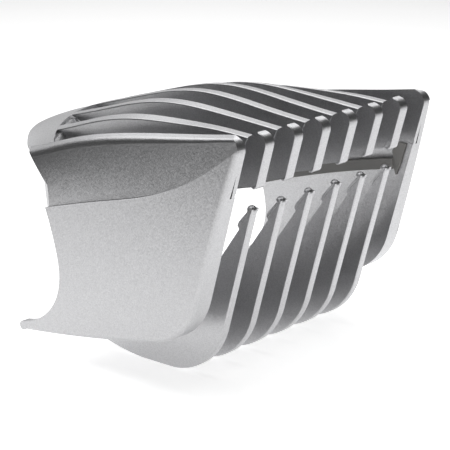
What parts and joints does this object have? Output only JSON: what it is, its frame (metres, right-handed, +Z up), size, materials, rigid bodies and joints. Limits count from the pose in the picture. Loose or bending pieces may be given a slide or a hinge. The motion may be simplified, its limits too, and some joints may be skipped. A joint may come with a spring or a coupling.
{
  "type": "clipper guard comb",
  "caption": "Hair clipper guard comb: domed slotted roof with blunt upper teeth over long curved lower fins, flared side walls with tails and an open back for the clipper head.",
  "frame": {"origin": "bottom centre of the comb's box, as it stands on its lower fins", "axes": "+X across the comb, -Y towards the teeth, +Y towards the open back, +Z up"},
  "size_m": [0.047, 0.0491, 0.0367],
  "materials": {
    "silver_paint": "satin metallic silver paint with fine flake over moulded plastic",
    "bare_plastic": "grey moulded plastic, thinly misted with paint"
  },
  "bodies": {
    "root": {"roof_crown": "silver_paint", "belly_floor": "silver_paint", "upper_tooth_1": "silver_paint", "roof_rib_1": "silver_paint", "lower_fin_1": "silver_paint", "upper_tooth_2": "silver_paint", "roof_rib_2": "silver_paint", "lower_fin_2": "silver_paint", "upper_tooth_3": "silver_paint", "roof_rib_3": "silver_paint", "lower_fin_3": "silver_paint", "upper_tooth_4": "silver_paint", "roof_rib_4": "silver_paint", "lower_fin_4": "silver_paint", "upper_tooth_5": "silver_paint", "roof_rib_5": "silver_paint", "lower_fin_5": "silver_paint", "upper_tooth_6": "silver_paint", "roof_rib_6": "silver_paint", "lower_fin_6": "silver_paint", "left_shoulder": "silver_paint", "left_side_panel": "silver_paint", "left_front_rim": "silver_paint", "left_edge_rib": "silver_paint", "right_shoulder": "silver_paint", "right_side_panel": "silver_paint", "right_front_rim": "silver_paint", "right_edge_rib": "silver_paint", "left_guide_rail": "bare_plastic", "left_stop_pad": "bare_plastic", "right_guide_rail": "bare_plastic", "right_stop_pad": "bare_plastic"}
  },
  "joints": []
}
